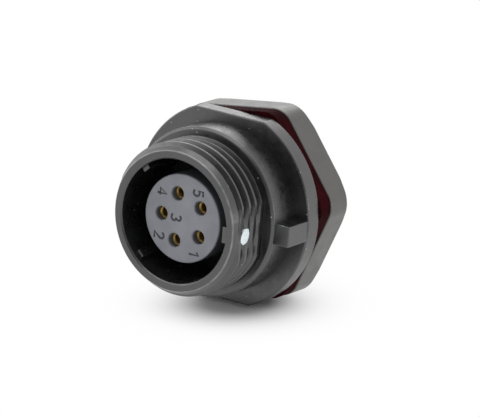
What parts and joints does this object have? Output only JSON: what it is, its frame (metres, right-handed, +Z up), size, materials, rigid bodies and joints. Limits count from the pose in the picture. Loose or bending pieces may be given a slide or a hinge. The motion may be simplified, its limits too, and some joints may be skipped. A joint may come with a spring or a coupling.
{
  "type": "panel receptacle",
  "caption": "Circular panel receptacle: threaded plastic mouth with keyed socket ring, flange with flats, grey numbered insert, red gasket and hex clamp nut.",
  "frame": {"origin": "on the connector axis in the rear face of the flange, where the panel sits", "axes": "+Y along the axis to the rear, mouth towards -Y, +Z up across the flange flats, +X towards the key and the lug"},
  "size_m": [0.0224, 0.0234, 0.0214],
  "materials": {
    "shell_plastic": "moulded, low gloss",
    "nut_plastic": "moulded, low gloss",
    "gasket_silicone": "matt silicone",
    "insulator_grey": "matt",
    "seal_rubber": "matt",
    "ring_plastic": "moulded",
    "contact_gold": "gold plated"
  },
  "bodies": {
    "shell": {"shell": "shell_plastic", "front_insulator": "insulator_grey", "insert_seal": "seal_rubber", "rear_insulator": "insulator_grey", "retaining_ring": "ring_plastic", "contact_1": "contact_gold", "contact_2": "contact_gold", "contact_3": "contact_gold", "contact_4": "contact_gold", "contact_5": "contact_gold"},
    "gasket": {"gasket": "gasket_silicone"},
    "nut": {"hex_nut": "nut_plastic"}
  },
  "joints": [
    {"name": "gasket_travel", "type": "slide", "parent": "shell", "child": "gasket", "axis": [0, 1, 0], "range_m": [0, 0.004]},
    {"name": "nut_turn", "type": "hinge", "parent": "gasket", "child": "nut", "pos_m": [0, 0.00367, 0], "axis": [0, 1, 0], "range_deg": [0, 1440]}
  ],
  "couplings": [
    {"joint": "gasket_travel", "follows": "nut_turn", "m_per_rad": 0.00015915}
  ]
}
